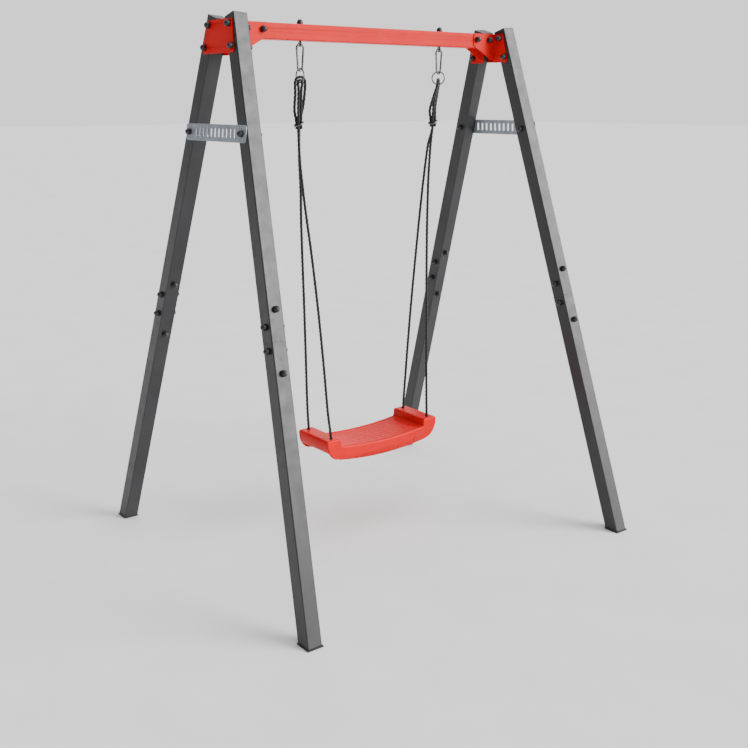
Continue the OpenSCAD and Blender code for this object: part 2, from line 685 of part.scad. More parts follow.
// The end walls stop above the lower edge of the skirts
function end_opening() = [[0, skirt_mid - cut], [seat_l / 2, skirt_mid - cut], [seat_l / 2, -end_wall_h],
    [skirt_half, -end_wall_h], [skirt_half, skirt_mid], [0, skirt_mid]];
function groove_half() = concat([for (i = [0:pan_steps]) let (x = groove_half_l * i / pan_steps)
    [x, arc_z(x, pan_half, pan_mid, pan_end) - groove_deep]],
    [[groove_half_l, cut], [0, cut]]);
module whole_outline(half) {
    polygon(concat(half, [for (i = [len(half) - 1:-1:0]) [-half[i][0], half[i][1]]]));
}
module prism_y(depth) {
    translate([0, depth / 2, 0]) rotate([90, 0, 0]) linear_extrude(depth) children();
}
module seat() {
    color("#e8382e") translate([0, 0, seat_z]) difference() {
        prism_y(seat_d) whole_outline(seat_half());
        prism_y(seat_d - 2 * seat_wall) whole_outline(hollow_half());
        prism_y(seat_d - 2 * seat_wall) whole_outline(end_opening());
        for (i = [0:groove_count - 1]) translate([0, (i - (groove_count - 1) / 2) * groove_pitch, 0])
            prism_y(groove_w) whole_outline(groove_half());
        for (sx = [-1, 1], sy = [-1, 1]) translate([sx * seat_hx, sy * seat_hy, 0])
            cylinder(h = 4 * seat_wall, r = seat_hole_r, center = true);
    }
}
module seat_knots() {
    color("#17181a") for (sx = [-1, 1], sy = [-1, 1])
        translate([sx * seat_hx, sy * seat_hy, seat_z - seat_wall - rest_gap - knot_h / 2])
            rotate_extrude() translate([knot_bore_r, 0]) polygon(concat(
                [[0, -knot_h / 2], [0, knot_h / 2]],
                [for (a = [75:-15:-75]) [(knot_d / 2 - knot_bore_r) * cos(a), knot_h / 2 * sin(a)]]));
}

beam();
quadrant(0, 1) upper_leg();  // upper_leg_front_left
quadrant(0, 0) upper_leg();  // upper_leg_front_right
quadrant(1, 1) upper_leg();  // upper_leg_rear_left
quadrant(1, 0) upper_leg();  // upper_leg_rear_right
quadrant(0, 1) lower_leg();  // lower_leg_front_left
quadrant(0, 0) lower_leg();  // lower_leg_front_right
quadrant(1, 1) lower_leg();  // lower_leg_rear_left
quadrant(1, 0) lower_leg();  // lower_leg_rear_right
leg_sleeves();
leg_top_plugs();
quadrant(0, 1) foot();  // foot_front_left
quadrant(0, 0) foot();  // foot_front_right
quadrant(1, 1) foot();  // foot_rear_left
quadrant(1, 0) foot();  // foot_rear_right
quadrant(0, 1) corner_plate();  // corner_plate_left
quadrant(0, 0) corner_plate();  // corner_plate_right
quadrant(0, 1) cross_plate();  // cross_plate_left
quadrant(0, 0) cross_plate();  // cross_plate_right
quadrant(0, 1) bracket();  // bracket_front_left
quadrant(0, 0) bracket();  // bracket_front_right
quadrant(1, 1) bracket();  // bracket_rear_left
quadrant(1, 0) bracket();  // bracket_rear_right
plate_bolts();
bracket_bolts();
cross_plate_bolts();
splice_side_bolts();
splice_face_bolts();
hex_nuts();
washers();
plate_bolt_caps();
bracket_bolt_caps();
cross_bolt_caps();
side_bolt_caps();
face_bolt_caps();
quadrant(0, 1) eye_bolt();  // eye_bolt_left
quadrant(0, 0) eye_bolt();  // eye_bolt_right
eye_bolt_nuts();
eye_bolt_washers();
eye_bolt_caps();
color("#a3a6aa") at_pivot(-1) snap_hook();  // snap_hook_left
color("#a3a6aa") at_pivot(1) snap_hook();  // snap_hook_right
color("#c3c5c8") at_pivot(-1) hook_gate();  // hook_gate_left
color("#c3c5c8") at_pivot(1) hook_gate();  // hook_gate_right
color("#77797c") for (side = [-1, 1]) at_pivot(side) gate_pin();  // gate_pins
hanging_ring(-1, 0);  // hanging_ring_left
hanging_ring(1, right_ring_turn);  // hanging_ring_right
rope(rope_fl);  // rope_front_left
rope(rope_rl);  // rope_rear_left
rope(rope_fr);  // rope_front_right
rope(rope_rr);  // rope_rear_right
gather_ring(gather_at[0]);  // gather_ring_left
gather_ring(gather_at[1]);  // gather_ring_right
seat();
seat_knots();
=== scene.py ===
"""Looks of a single-seat garden swing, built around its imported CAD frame. All sizes are in metres."""

import json
import math

import bmesh
import bpy
import numpy as np
from mathutils import Matrix, Vector


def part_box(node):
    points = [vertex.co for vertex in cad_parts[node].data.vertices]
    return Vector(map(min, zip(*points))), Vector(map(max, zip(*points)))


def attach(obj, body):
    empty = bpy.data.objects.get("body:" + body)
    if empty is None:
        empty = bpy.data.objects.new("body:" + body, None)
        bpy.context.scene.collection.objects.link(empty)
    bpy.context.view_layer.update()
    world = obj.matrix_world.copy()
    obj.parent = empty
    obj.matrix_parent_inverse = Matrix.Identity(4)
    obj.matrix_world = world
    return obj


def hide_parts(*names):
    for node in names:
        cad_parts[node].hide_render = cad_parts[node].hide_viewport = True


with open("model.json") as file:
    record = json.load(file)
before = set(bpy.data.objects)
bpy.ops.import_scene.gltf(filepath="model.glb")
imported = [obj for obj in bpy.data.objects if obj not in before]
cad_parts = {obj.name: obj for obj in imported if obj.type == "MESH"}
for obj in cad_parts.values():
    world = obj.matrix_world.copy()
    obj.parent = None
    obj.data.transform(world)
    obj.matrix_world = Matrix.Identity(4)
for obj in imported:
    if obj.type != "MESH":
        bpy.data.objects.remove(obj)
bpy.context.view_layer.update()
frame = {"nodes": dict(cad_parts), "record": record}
NODES = frame["nodes"]
SCENE = bpy.context.scene
MM = 0.001

# ---------------------------------------------------------------- camera, floor, light

SENSOR = 36.0
CAMERA_AT = (-2.2146, -2.7108, 1.5077)
CAMERA_AZIMUTH = math.radians(36.263)
CAMERA_ELEVATION = math.radians(-12.177)
CAMERA_LENS = 48.95
CAMERA_SHIFT = (0.0747, -0.0705)
FLOOR_HALF = 60.0


def make_camera():
    az, el = CAMERA_AZIMUTH, CAMERA_ELEVATION
    look = Vector((math.sin(az) * math.cos(el), math.cos(az) * math.cos(el), math.sin(el)))
    right = Vector((math.cos(az), -math.sin(az), 0))
    up = right.cross(look)
    data = bpy.data.cameras.new("camera")
    data.sensor_width = SENSOR
    data.lens = CAMERA_LENS
    data.shift_x, data.shift_y = CAMERA_SHIFT
    data.clip_end = 200
    camera = bpy.data.objects.new("camera", data)
    turn = Matrix((right, up, -look)).transposed().to_4x4()
    camera.matrix_world = Matrix.Translation(CAMERA_AT) @ turn
    SCENE.collection.objects.link(camera)
    SCENE.camera = camera


def make_floor():
    half = FLOOR_HALF
    corners = [(-half, -half, 0), (half, -half, 0), (half, half, 0), (-half, half, 0)]
    mesh = bpy.data.meshes.new("floor")
    mesh.from_pydata(corners, [], [(0, 1, 2, 3)])
    floor = bpy.data.objects.new("floor", mesh)
    SCENE.collection.objects.link(floor)
    material, tree, shader = new_material("pale_floor", (0.86, 0.86, 0.86), 0.9)
    noise = noise_node(tree, 4.0, 3)
    vary_color(tree, shader, noise, (0.84, 0.84, 0.84), (0.88, 0.88, 0.88))
    mesh.materials.append(material)


def soft_sun(name, azimuth, elevation, spread, strength):
    """A very wide, even light from one side; its azimuth runs from +Y towards +X, in degrees."""
    az, el = math.radians(azimuth), math.radians(elevation)
    data = bpy.data.lights.new(name, "SUN")
    data.energy = strength
    data.angle = math.radians(spread)
    light = bpy.data.objects.new(name, data)
    toward = Vector((math.sin(az) * math.cos(el), math.cos(az) * math.cos(el), math.sin(el)))
    light.rotation_mode = "QUATERNION"
    light.rotation_quaternion = toward.to_track_quat("Z", "Y")
    SCENE.collection.objects.link(light)


def make_lights():
    """A wide light from the front right, a wider one overhead, and a studio that is darker on the left."""
    soft_sun("key_front_right", 142, 22, 38, 5.0)
    soft_sun("soft_top", 160, 75, 50, 1.4)
    world = bpy.data.worlds.new("studio")
    world.use_nodes = True
    tree = world.node_tree
    place = add(tree, "ShaderNodeTexCoord")
    toward = add(tree, "ShaderNodeVectorMath", operation="DOT_PRODUCT")
    toward.inputs[1].default_value = (0.85, 0.53, 0)
    spread = add(tree, "ShaderNodeMapRange")
    spread.inputs["From Min"].default_value = -0.1
    spread.inputs["From Max"].default_value = 0.7
    spread.inputs["To Min"].default_value = 0.3
    spread.inputs["To Max"].default_value = 1.25
    tree.links.new(place.outputs["Generated"], toward.inputs[0])
    tree.links.new(toward.outputs["Value"], spread.inputs["Value"])
    tree.links.new(spread.outputs["Result"], tree.nodes["Background"].inputs["Strength"])
    tree.nodes["Background"].inputs["Color"].default_value = (1, 1, 1, 1)
    SCENE.world = world


# ---------------------------------------------------------------- materials


def new_material(name, color, roughness, metallic=0.0):
    material = bpy.data.materials.new(name)
    material.use_nodes = True
    tree = material.node_tree
    shader = tree.nodes["Principled BSDF"]
    shader.inputs["Base Color"].default_value = (*color, 1)
    shader.inputs["Roughness"].default_value = roughness
    shader.inputs["Metallic"].default_value = metallic
    return material, tree, shader


def add(tree, kind, **values):
    node = tree.nodes.new(kind)
    for name, value in values.items():
        setattr(node, name, value)
    return node


def noise_node(tree, scale, detail=4, stretch=(1, 1, 1)):
    place = add(tree, "ShaderNodeTexCoord")
    mapping = add(tree, "ShaderNodeMapping")
    mapping.inputs["Scale"].default_value = stretch
    noise = add(tree, "ShaderNodeTexNoise")
    noise.inputs["Scale"].default_value = scale
    noise.inputs["Detail"].default_value = detail
    tree.links.new(place.outputs["Object"], mapping.inputs["Vector"])
    tree.links.new(mapping.outputs["Vector"], noise.inputs["Vector"])
    return noise


def ramp_from(tree, source, low, high, start=0.3, stop=0.7):
    ramp = add(tree, "ShaderNodeValToRGB")
    ramp.color_ramp.elements[0].position = start
    ramp.color_ramp.elements[0].color = (*low, 1)
    ramp.color_ramp.elements[1].position = stop
    ramp.color_ramp.elements[1].color = (*high, 1)
    tree.links.new(source, ramp.inputs["Fac"])
    return ramp


def vary_color(tree, shader, noise, low, high, start=0.3, stop=0.7):
    ramp = ramp_from(tree, noise.outputs["Fac"], low, high, start, stop)
    tree.links.new(ramp.outputs["Color"], shader.inputs["Base Color"])
    return ramp


def vary_roughness(tree, shader, noise, low, high):
    spread = add(tree, "ShaderNodeMapRange")
    spread.inputs["From Min"].default_value = 0.3
    spread.inputs["From Max"].default_value = 0.7
    spread.inputs["To Min"].default_value = low
    spread.inputs["To Max"].default_value = high
    tree.links.new(noise.outputs["Fac"], spread.inputs["Value"])
    tree.links.new(spread.outputs["Result"], shader.inputs["Roughness"])


def add_bump(tree, shader, height, strength, distance):
    """Adds a layer of bump on top of what the shader already has."""
    bump = add(tree, "ShaderNodeBump")
    bump.inputs["Strength"].default_value = strength
    bump.inputs["Distance"].default_value = distance
    earlier = shader.inputs["Normal"].links
    if earlier:
        tree.links.new(earlier[0].from_socket, bump.inputs["Normal"])
    tree.links.new(height, bump.inputs["Height"])
    tree.links.new(bump.outputs["Normal"], shader.inputs["Normal"])


def mix_dirt(tree, shader, color, top, amount):
    """Mixes a dust colour into the base colour, from the ground up to the height top."""
    place = add(tree, "ShaderNodeTexCoord")
    split = add(tree, "ShaderNodeSeparateXYZ")
    tree.links.new(place.outputs["Object"], split.inputs["Vector"])
    fade = add(tree, "ShaderNodeMapRange")
    fade.inputs["From Min"].default_value = 0
    fade.inputs["From Max"].default_value = top
    fade.inputs["To Min"].default_value = amount
    fade.inputs["To Max"].default_value = 0
    tree.links.new(split.outputs["Z"], fade.inputs["Value"])
    speckle = noise_node(tree, 60, 5)
    share = add(tree, "ShaderNodeMath", operation="MULTIPLY")
    tree.links.new(fade.outputs["Result"], share.inputs[0])
    tree.links.new(speckle.outputs["Fac"], share.inputs[1])
    mix = add(tree, "ShaderNodeMix", data_type="RGBA")
    earlier = shader.inputs["Base Color"].links[0].from_socket
    tree.links.new(share.outputs["Value"], mix.inputs["Factor"])
    tree.links.new(earlier, mix.inputs["A"])
    mix.inputs["B"].default_value = (*color, 1)
    tree.links.new(mix.outputs["Result"], shader.inputs["Base Color"])


def red_powder_coat():
    material, tree, shader = new_material("red_powder_coat", (0.62, 0.001, 0.001), 0.5)
    shader.inputs["Specular IOR Level"].default_value = 0.14
    vary_color(tree, shader, noise_node(tree, 7, 3), (0.58, 0.0008, 0.0006), (0.66, 0.002, 0.0015))
    vary_roughness(tree, shader, noise_node(tree, 25, 4), 0.34, 0.46)
    add_bump(tree, shader, noise_node(tree, 700, 2).outputs["Fac"], 0.18, 0.0003)
    return material


def graphite_powder_coat():
    material, tree, shader = new_material("graphite_powder_coat", (0.018, 0.018, 0.020), 0.36)
    shader.inputs["Specular IOR Level"].default_value = 0.42
    vary_color(tree, shader, noise_node(tree, 9, 4), (0.014, 0.014, 0.016), (0.022, 0.022, 0.025))
    mix_dirt(tree, shader, (0.06, 0.054, 0.045), 0.14, 0.5)
    vary_roughness(tree, shader, noise_node(tree, 30, 4), 0.30, 0.42)
    add_bump(tree, shader, noise_node(tree, 1100, 3).outputs["Fac"], 0.25, 0.00025)
    return material


def galvanised_plate():
    material, tree, shader = new_material("galvanised_plate", (0.26, 0.29, 0.33), 0.42, 0.3)
    place = add(tree, "ShaderNodeTexCoord")
    spangle = add(tree, "ShaderNodeTexVoronoi")
    spangle.inputs["Scale"].default_value = 110
    tree.links.new(place.outputs["Object"], spangle.inputs["Vector"])
    grey = add(tree, "ShaderNodeSeparateColor")
    tree.links.new(spangle.outputs["Color"], grey.inputs["Color"])
    ramp = ramp_from(tree, grey.outputs["Red"], (0.22, 0.25, 0.285), (0.30, 0.335, 0.375), 0, 1)
    tree.links.new(ramp.outputs["Color"], shader.inputs["Base Color"])
    vary_roughness(tree, shader, noise_node(tree, 80, 4), 0.34, 0.5)
    add_bump(tree, shader, noise_node(tree, 500, 3, (1, 0.08, 1)).outputs["Fac"], 0.1, 0.0002)
    return material


def black_plastic():
    material, tree, shader = new_material("black_plastic", (0.012, 0.012, 0.013), 0.32)
    vary_color(tree, shader, noise_node(tree, 60, 3), (0.009, 0.009, 0.010), (0.017, 0.017, 0.018))
    vary_roughness(tree, shader, noise_node(tree, 150, 3), 0.26, 0.42)
    add_bump(tree, shader, noise_node(tree, 1500, 2).outputs["Fac"], 0.15, 0.0002)
    return material


def zinc(name, color, low, high):
    material, tree, shader = new_material(name, color, low, 1.0)
    darker = tuple(0.86 * c for c in color)
    vary_color(tree, shader, noise_node(tree, 120, 4), darker, color)
    vary_roughness(tree, shader, noise_node(tree, 260, 4), low, high)
    add_bump(tree, shader, noise_node(tree, 900, 4, (1, 1, 0.15)).outputs["Fac"], 0.12, 0.0002)
    return material


def rope_fibre():
    material, tree, shader = new_material("black_rope", (0.011, 0.0115, 0.013), 0.45)
    place = add(tree, "ShaderNodeTexCoord")
    mapping = add(tree, "ShaderNodeMapping")
    mapping.inputs["Scale"].default_value = (60, 14, 1)
    fibre = add(tree, "ShaderNodeTexNoise")
    fibre.inputs["Scale"].default_value = 1.0
    fibre.inputs["Detail"].default_value = 5
    tree.links.new(place.outputs["UV"], mapping.inputs["Vector"])
    tree.links.new(mapping.outputs["Vector"], fibre.inputs["Vector"])
    vary_color(tree, shader, fibre, (0.004, 0.004, 0.0045), (0.014, 0.0145, 0.016), 0.35, 0.75)
    vary_roughness(tree, shader, fibre, 0.34, 0.6)
    add_bump(tree, shader, fibre.outputs["Fac"], 0.55, 0.0006)
    shader.inputs["Sheen Weight"].default_value = 0.05
    shader.inputs["Specular IOR Level"].default_value = 0.32
    return material


def red_plastic():
    material, tree, shader = new_material("red_plastic", (0.66, 0.001, 0.001), 0.3)
    shader.inputs["Specular IOR Level"].default_value = 0.14
    vary_color(tree, shader, noise_node(tree, 12, 3), (0.62, 0.0008, 0.0008), (0.70, 0.0015, 0.0015))
    vary_roughness(tree, shader, noise_node(tree, 45, 4), 0.25, 0.38)
    add_bump(tree, shader, noise_node(tree, 420, 4).outputs["Fac"], 0.12, 0.0004)
    shader.inputs["Subsurface Weight"].default_value = 0.06
    shader.inputs["Subsurface Radius"].default_value = (0.006, 0.001, 0.001)
    return material


def make_materials():
    return {
        "red_powder_coat": red_powder_coat(),
        "graphite_powder_coat": graphite_powder_coat(),
        "galvanised_plate": galvanised_plate(),
        "zinc_tube": zinc("zinc_tube", (0.56, 0.57, 0.59), 0.3, 0.45),
        "black_plastic": black_plastic(),
        "zinc_fasteners": zinc("zinc_fasteners", (0.22, 0.22, 0.23), 0.3, 0.45),
        "bright_steel": zinc("bright_steel", (0.17, 0.18, 0.20), 0.2, 0.34),
        "black_rope": rope_fibre(),
        "red_plastic": red_plastic(),
    }


# ---------------------------------------------------------------- CAD nodes that stay


def soften(node, width, segments=2):
    """Rounds a CAD node's sharp edges with modifiers alone."""
    piece = NODES[node]
    weld = piece.modifiers.new("weld", "WELD")
    weld.merge_threshold = 0.00002
    bevel = piece.modifiers.new("bevel", "BEVEL")
    bevel.width = width
    bevel.segments = segments
    bevel.limit_method = "ANGLE"
    bevel.angle_limit = math.radians(38)
    bevel.harden_normals = False
    normals = piece.modifiers.new("normals", "WEIGHTED_NORMAL")
    normals.keep_sharp = True


SOFT_EDGES = {
    "beam": 0.5, "corner_plate": 0.6, "cross_plate": 0.6, "bracket": 0.6,
    "foot": 0.8, "leg_top_plugs": 0.5, "upper_leg": 0.4, "lower_leg": 0.4,
}


def dress_cad(materials):
    slots = {row["node"]: row["material_slot"] for row in frame["record"]["subparts"]}
    for name, piece in NODES.items():
        material = materials[slots[name]]
        if not piece.material_slots:
            piece.data.materials.append(material)
        for place in piece.material_slots:
            place.material = material
        for start, width in SOFT_EDGES.items():
            if name.startswith(start) and "bolt" not in name:
                soften(name, width * MM)


# ---------------------------------------------------------------- ropes

ROPE_STRANDS = 3
STRAND_R = 2.62 * MM
STRAND_OUT = 2.35 * MM
ROPE_LAY = 44 * MM
ROPE_STEP = 2.2 * MM
STRAND_SIDES = 8

# Routes in millimetres, from the tied end over the hanging ring and down through the seat
ROPES = {
    "rope_front_left": [
        (-297.8, -5.2, 1422), (-297.8, -5.2, 1438), (-297.3, -5.2, 1455), (-296.3, -4, 1475),
        (-294.9, -1.4, 1500), (-292.3, 0, 1545), (-288.6, 0, 1567), (-289.7, 0, 1570.6),
        (-292.8, 0, 1573.6), (-297, 0, 1574.6), (-301.2, 0, 1573.6), (-304.3, 0, 1570.6),
        (-305.4, 0, 1567), (-303, 0, 1545), (-305.1, -1.4, 1500), (-306.7, -4, 1475),
        (-307.7, -5.2, 1455), (-308.2, -5.2, 1438), (-308.5, -5.4, 1420), (-307, -11, 1325),
        (-300, -18, 1229), (-290, -24.5, 1132), (-278, -31, 1033), (-257, -42, 832),
        (-240, -53, 625), (-229, -61, 468), (-220, -65, 392), (-219, -65, 376), (-219, -65, 352)],
    "rope_rear_left": [
        (-308.2, 5.2, 1422), (-308.2, 5.2, 1438), (-309.9, 5.6, 1455), (-315.8, 4.6, 1475),
        (-317.1, 2.4, 1500), (-316, 0, 1530), (-316.5, 0, 1567), (-313.9, 0, 1576),
        (-306.8, 0, 1582.6), (-297, 0, 1585), (-287.2, 0, 1582.6), (-280.1, 0, 1576),
        (-277.5, 0, 1567), (-280, 0, 1530), (-282.9, 2.4, 1500), (-287.2, 4.6, 1475),
        (-296, 5.6, 1455), (-297.8, 5.2, 1438), (-297.5, 5.6, 1420), (-293, 12, 1325),
        (-283.5, 18.5, 1229), (-277.5, 25, 1132), (-270, 31, 1033), (-254, 42, 832),
        (-239, 53, 625), (-228, 61, 468), (-220, 65, 392), (-219, 65, 376), (-219, 65, 352)],
    "rope_front_right": [
        (281.2, -5.2, 1422), (281.2, -5.2, 1438), (281.2, -5.2, 1455), (282.8, -3.1, 1475),
        (285.3, 0.5, 1500), (293.9, 3.1, 1545), (303.4, 5.4, 1567), (302.6, 4.7, 1570.6),
        (300.2, 2.7, 1573.6), (297, 0, 1574.6), (293.8, -2.7, 1573.6), (291.4, -4.7, 1570.6),
        (290.6, -5.4, 1567), (285.1, -3.1, 1545), (275.3, -3, 1500), (272.4, -4.9, 1475),
        (270.8, -5.2, 1455), (270.8, -5.2, 1438), (270, -5.4, 1420), (259, -10, 1359),
        (252, -13.5, 1307), (246, -17, 1255), (238, -24, 1150), (231, -33, 990),
        (224, -47.5, 720), (220, -61, 460), (219, -65, 392), (219, -65, 376), (219, -65, 352)],
    "rope_rear_right": [
        (270.8, 5.2, 1422), (270.8, 5.2, 1438), (269, 5.6, 1455), (262.1, 2.1, 1475),
        (263.1, -3.6, 1500), (270.4, -9, 1530), (282.1, -12.5, 1567), (284.1, -10.9, 1576),
        (289.5, -6.3, 1582.6), (297, 0, 1585), (304.5, 6.3, 1582.6), (309.9, 10.9, 1576),
        (311.9, 12.5, 1567), (301.6, 9, 1530), (295.3, 8.1, 1500), (290.2, 7, 1475),
        (283, 5.6, 1455), (281.2, 5.2, 1438), (281, 5.6, 1420), (265, 10, 1359),
        (259.5, 13.5, 1307), (255.5, 17, 1255), (249, 24, 1150), (240, 33.5, 985),
        (229, 46, 755), (222, 58.5, 520), (219, 65, 392), (219, 65, 376), (219, 65, 352)],
}


def smooth_route(points, step, closed=False):
    """Evenly spaced points on a centripetal Catmull-Rom curve through the given ones."""
    p = [Vector(q) for q in points]
    if closed:
        p = [p[-1], *p, p[0], p[1]]
    else:
        p = [2 * p[0] - p[1], *p, 2 * p[-1] - p[-2]]
    dense = []
    for a, b, c, d in zip(p, p[1:], p[2:], p[3:]):
        t0 = 0.0
        t1 = t0 + (b - a).length ** 0.5
        t2 = t1 + (c - b).length ** 0.5
        t3 = t2 + (d - c).length ** 0.5
        count = max(4, int((c - b).length / (step / 4)))
        for i in range(count):
            t = t1 + (t2 - t1) * i / count
            ab = a * ((t1 - t) / (t1 - t0)) + b * ((t - t0) / (t1 - t0))
            bc = b * ((t2 - t) / (t2 - t1)) + c * ((t - t1) / (t2 - t1))
            cd = c * ((t3 - t) / (t3 - t2)) + d * ((t - t2) / (t3 - t2))
            abc = ab * ((t2 - t) / (t2 - t0)) + bc * ((t - t0) / (t2 - t0))
            bcd = bc * ((t3 - t) / (t3 - t1)) + cd * ((t - t1) / (t3 - t1))
            dense.append(abc * ((t2 - t) / (t2 - t1)) + bcd * ((t - t1) / (t2 - t1)))
    dense.append(p[-2])
    line = np.array([list(q) for q in dense])
    gone = np.r_[0, np.cumsum(np.linalg.norm(np.diff(line, axis=0), axis=1))]
    even = np.linspace(0, gone[-1], max(8, int(gone[-1] / step)) + 1)
    return np.stack([np.interp(even, gone, line[:, k]) for k in range(3)], 1)


def frames_along(line, closed=False):
    """Tangent and two square directions at each point, carried along without twist."""
    if closed:
        tangent = np.roll(line, -1, 0) - np.roll(line, 1, 0)
    else:
        tangent = np.gradient(line, axis=0)
    tangent /= np.linalg.norm(tangent, axis=1)[:, None]
    n = np.cross(tangent[0], (0.31, 0.87, 0.38))
    normals = []
    for t in tangent:
        n = n - t * (t @ n)
        n = n / np.linalg.norm(n)
        normals.append(n)
    normals = np.array(normals)
    return tangent, normals, np.cross(tangent, normals)


def tube_mesh(line, radius, sides, closed=False):
    """Vertices, faces and UVs of a tube on a line; radius is one number or one for each point."""
    t, n, b = frames_along(line, closed)
    angle = 2 * np.pi * np.arange(sides) / sides
    radius = np.broadcast_to(radius, len(line))
    ring = np.cos(angle)[None, :, None] * n[:, None] + np.sin(angle)[None, :, None] * b[:, None]
    points = (line[:, None] + radius[:, None, None] * ring).reshape(-1, 3)
    gone = np.r_[0, np.cumsum(np.linalg.norm(np.diff(line, axis=0), axis=1))]
    count = len(line)
    faces, uvs = [], []
    for i in range(count if closed else count - 1):
        j = (i + 1) % count
        for k in range(sides):
            m = (k + 1) % sides
            faces.append((i * sides + k, i * sides + m, j * sides + m, j * sides + k))
            u0, u1 = k / sides, (k + 1) / sides
            uvs += [(u0, gone[i] * 100), (u1, gone[i] * 100), (u1, gone[j] * 100), (u0, gone[j] * 100)]
    if not closed:
        faces.append(tuple(range(sides - 1, -1, -1)))
        faces.append(tuple((count - 1) * sides + k for k in range(sides)))
        uvs += [(0, 0)] * (2 * sides)
    return points, faces, uvs


def object_from(name, parts, material, smooth=True):
    """One object from a list of (points, faces, uvs)."""
    points, faces, uvs = [], [], []
    for p, f, u in parts:
        base = len(points)
        points += [tuple(q) for q in p]
        faces += [tuple(base + i for i in face) for face in f]
        uvs += u
    mesh = bpy.data.meshes.new(name)
    mesh.from_pydata(points, [], faces)
    layer = mesh.uv_layers.new(name="along")
    layer.data.foreach_set("uv", np.array(uvs, np.float32).ravel())
    mesh.polygons.foreach_set("use_smooth", [smooth] * len(faces))
    mesh.materials.append(material)
    piece = bpy.data.objects.new(name, mesh)
    SCENE.collection.objects.link(piece)
    return piece


def twisted_rope(line, strand_r, out, lay, closed=False, taper=0.0):
    """Strands laid round each other along a line."""
    t, n, b = frames_along(line, closed)
    gone = np.r_[0, np.cumsum(np.linalg.norm(np.diff(line, axis=0), axis=1))]
    turns = gone / lay
    if closed:
        whole = gone[-1] + np.linalg.norm(line[0] - line[-1])
        turns = gone / whole * max(1, round(whole / lay))
    radius = np.full(len(line), strand_r)
    if taper:
        near_end = np.minimum(gone, gone[-1] - gone) / taper
        radius = strand_r * np.clip(0.55 + 0.45 * near_end, 0.55, 1)
    parts = []
    for strand in range(ROPE_STRANDS):
        angle = 2 * np.pi * (turns + strand / ROPE_STRANDS)
        offset = np.cos(angle)[:, None] * n + np.sin(angle)[:, None] * b
        parts.append(tube_mesh(line + out * offset, radius, STRAND_SIDES, closed=closed))
    return parts


def make_ropes(material):
    for name, route in ROPES.items():
        line = smooth_route([tuple(MM * c for c in p) for p in route], ROPE_STEP)
        parts = twisted_rope(line, STRAND_R, STRAND_OUT, ROPE_LAY, taper=3 * MM)
        rope = object_from(name + "_strands", parts, material)
        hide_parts(name)
        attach(rope, "swing")


KNOT_LOOP = 2.3 * MM
KNOT_STRAND = 1.75 * MM


def make_knots(material):
    """A closed trefoil below each rope's end; its strands are thinner than the rope's, to fit the CAD knot."""
    low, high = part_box("seat_knots")
    middle_z = (low.z + high.z) / 2
    parts = []
    for route in ROPES.values():
        x, y = route[-1][0] * MM, route[-1][1] * MM
        turn = np.linspace(0, 2 * np.pi, 90, endpoint=False)
        loop = KNOT_LOOP * np.stack([
            np.sin(turn) + 2 * np.sin(2 * turn),
            np.cos(turn) - 2 * np.cos(2 * turn),
            -1.5 * np.sin(3 * turn)], 1)
        loop = loop + np.array((x, y, middle_z))
        parts += twisted_rope(loop, KNOT_STRAND, KNOT_STRAND, ROPE_LAY, closed=True)
    knots = object_from("seat_rope_knots", parts, material)
    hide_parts("seat_knots")
    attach(knots, "swing")


# ---------------------------------------------------------------- seat

SHOULDER_L = 62 * MM
SHOULDER_H = 28 * MM
PAN_SAG = 12 * MM
SKIRT_RISE = 16 * MM
SKIRT_OVER = 2 * MM
SKIRT_POINTS = 61
SEAM = 1 * MM
EDGE_STEPS = 7
TOP_STEPS = 119
# The CAD's wall is 4 mm
SEAT_WALL = 3.6 * MM
EDGE_R = 5 * MM
FILLET_R = 9 * MM
CROWN_R = 8 * MM
END_R = 52 * MM
END_DROP = 11 * MM
END_H = 63 * MM
END_WALL = 48 * MM
GROOVES = 9
GROOVE_DEPTH = 1.6 * MM
GROOVE_HALF = 2.0 * MM
RIM_W = 8 * MM
RIM_STEP = 1.8 * MM
RIM_BEAD = 0.9 * MM
BEAD_HALF = 1.6 * MM
RIM_FADE = 3 * MM
PAN_CORNER = 12 * MM
GROOVE_MARGIN = 8 * MM
GROOVE_START = 5 * MM
GROOVE_FADE = 6 * MM
HOLE_R = 5.8 * MM
HOLE_AT = (219 * MM, 65 * MM)


def arc_points(center, radius, start, stop, count):
    """Points of an arc in the XZ plane, angles in degrees."""
    angles = np.radians(np.linspace(start, stop, count))
    return np.stack([center[0] + radius * np.cos(angles), center[1] + radius * np.sin(angles)], 1)


def seat_profile(half_l, pan_half):
    """Right half of the seat's upper outline, from the middle of the pan to the tucked-in end."""
    pan_end = -SHOULDER_H
    pan_stop = pan_half - FILLET_R
    x = np.linspace(0, pan_stop, 64)
    pan = np.stack([x, pan_end - PAN_SAG + PAN_SAG * (x / pan_half) ** 2], 1)
    foot = arc_points((pan_stop, pan[-1][1] + FILLET_R), FILLET_R, -86, -4, 9)
    crown = arc_points((pan_half + CROWN_R, -CROWN_R), CROWN_R, 176, 92, 9)
    edge = arc_points((half_l - CROWN_R, -CROWN_R), CROWN_R, 88, 6, 9)
    x = np.linspace(crown[-1][0], edge[0][0], 16)[1:-1]
    flat = np.stack([x, np.zeros(len(x))], 1)
    end = arc_points((0, 0), 1, -1, -82, 26) * (END_R, END_H) + (half_l - END_R, -END_DROP)
    return np.concatenate([pan, foot, crown, flat, edge, end])


def outline_normals(profile):
    along = np.gradient(profile, axis=0)
    along /= np.linalg.norm(along, axis=1)[:, None]
    return np.stack([-along[:, 1], along[:, 0]], 1)


def smoothstep(x):
    x = np.clip(x, 0, 1)
    return x * x * (3 - 2 * x)


